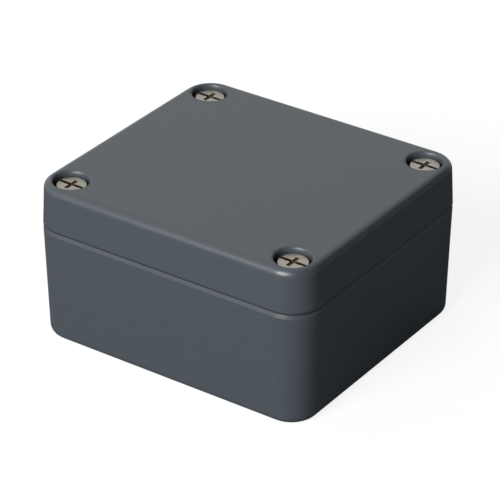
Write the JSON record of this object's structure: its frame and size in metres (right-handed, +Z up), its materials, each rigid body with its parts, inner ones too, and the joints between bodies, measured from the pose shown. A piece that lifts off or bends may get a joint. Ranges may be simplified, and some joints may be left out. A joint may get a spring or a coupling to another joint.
{
  "type": "die cast aluminium box",
  "caption": "Small sealed rectangular box of die cast aluminium, grey powder coated: a deep base and a lift-off lid held by captive screws recessed in its corners.",
  "frame": {"origin": "middle of the underside, on the surface that the box stands on", "axes": "+Z up through the lid, +X along the longer side, +Y along the shorter side"},
  "size_m": [0.064, 0.058, 0.034],
  "materials": {
    "powder_coated_casting": "satin grey powder coat on cast aluminium",
    "stainless_steel": "turned",
    "black_nylon": "moulded",
    "gasket_rubber": "matt"
  },
  "bodies": {
    "base": {"base": "powder_coated_casting", "earth_screw": "stainless_steel", "earth_washer": "stainless_steel"},
    "lid": {"lid": "powder_coated_casting", "lid_gasket": "gasket_rubber", "retaining_ring_1": "black_nylon", "retaining_ring_2": "black_nylon", "retaining_ring_3": "black_nylon", "retaining_ring_4": "black_nylon"},
    "lid_screw_1": {"lid_screw_1": "stainless_steel"},
    "lid_screw_2": {"lid_screw_2": "stainless_steel"},
    "lid_screw_3": {"lid_screw_3": "stainless_steel"},
    "lid_screw_4": {"lid_screw_4": "stainless_steel"}
  },
  "joints": [
    {"name": "lid_lift", "type": "slide", "parent": "base", "child": "lid", "axis": [0, 0, 1], "range_m": [0, 0.04]},
    {"name": "lid_screw_1_out", "type": "slide", "parent": "lid", "child": "lid_screw_1", "axis": [0, 0, 1], "range_m": [0, 0.0074]},
    {"name": "lid_screw_2_out", "type": "slide", "parent": "lid", "child": "lid_screw_2", "axis": [0, 0, 1], "range_m": [0, 0.0074]},
    {"name": "lid_screw_3_out", "type": "slide", "parent": "lid", "child": "lid_screw_3", "axis": [0, 0, 1], "range_m": [0, 0.0074]},
    {"name": "lid_screw_4_out", "type": "slide", "parent": "lid", "child": "lid_screw_4", "axis": [0, 0, 1], "range_m": [0, 0.0074]}
  ]
}
